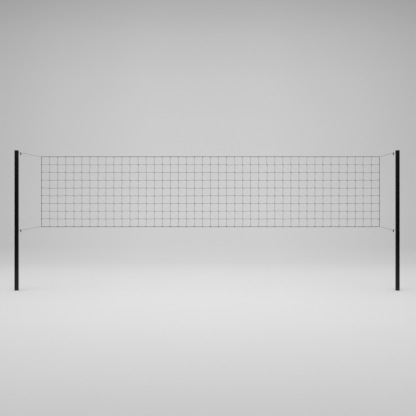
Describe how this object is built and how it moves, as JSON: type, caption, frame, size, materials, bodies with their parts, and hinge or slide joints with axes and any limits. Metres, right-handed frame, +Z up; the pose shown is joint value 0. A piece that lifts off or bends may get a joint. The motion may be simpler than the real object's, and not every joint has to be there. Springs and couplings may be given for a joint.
{
  "type": "volleyball net on poles",
  "caption": "Knotted volleyball net strung by thin lines between two square steel posts with drop-nose hook studs.",
  "frame": {"origin": "on the floor, midway between the two posts", "axes": "+X along the net to the right-hand post, +Y through the net to its far side, +Z up"},
  "size_m": [6.997, 0.065, 2.55],
  "materials": {
    "post_coat": "black powder coat with a fine orange-peel texture",
    "cap_plastic": "black moulded polyethylene",
    "zinc": "bright zinc plate on steel",
    "nose_plastic": "black glass-filled nylon, satin",
    "net_twine": "black twisted polyethylene twine",
    "line_cord": "black laid polyester cord",
    "ferrule_metal": "pressed aluminium, dark anodised and dull"
  },
  "bodies": {
    "net_set": {"left_post": "post_coat", "right_post": "post_coat", "left_cap": "cap_plastic", "right_cap": "cap_plastic", "left_foot": "post_coat", "right_foot": "post_coat", "hook_inserts": "zinc", "hook_washers": "zinc", "hook_lock_nuts": "zinc", "upper_left_stud": "zinc", "upper_right_stud": "zinc", "lower_left_stud": "zinc", "lower_right_stud": "zinc", "net_mesh": "net_twine", "head_line": "line_cord", "foot_line": "line_cord", "left_side_line": "line_cord", "right_side_line": "line_cord", "line_ferrules": "ferrule_metal", "corner_knots": "line_cord"},
    "upper_left_drop": {"upper_left_nose": "nose_plastic", "upper_left_pin": "zinc"},
    "upper_right_drop": {"upper_right_nose": "nose_plastic", "upper_right_pin": "zinc"},
    "lower_left_drop": {"lower_left_nose": "nose_plastic", "lower_left_pin": "zinc"},
    "lower_right_drop": {"lower_right_nose": "nose_plastic", "lower_right_pin": "zinc"}
  },
  "joints": [
    {"name": "upper_left_hinge", "type": "hinge", "parent": "net_set", "child": "upper_left_drop", "pos_m": [-3.39, 0, 2.5], "axis": [0, -1, 0], "range_deg": [0, 90]},
    {"name": "upper_right_hinge", "type": "hinge", "parent": "net_set", "child": "upper_right_drop", "pos_m": [3.39, 0, 2.5], "axis": [0, 1, 0], "range_deg": [0, 90]},
    {"name": "lower_left_hinge", "type": "hinge", "parent": "net_set", "child": "lower_left_drop", "pos_m": [-3.39, 0, 1.1], "axis": [0, -1, 0], "range_deg": [0, 90]},
    {"name": "lower_right_hinge", "type": "hinge", "parent": "net_set", "child": "lower_right_drop", "pos_m": [3.39, 0, 1.1], "axis": [0, 1, 0], "range_deg": [0, 90]}
  ]
}
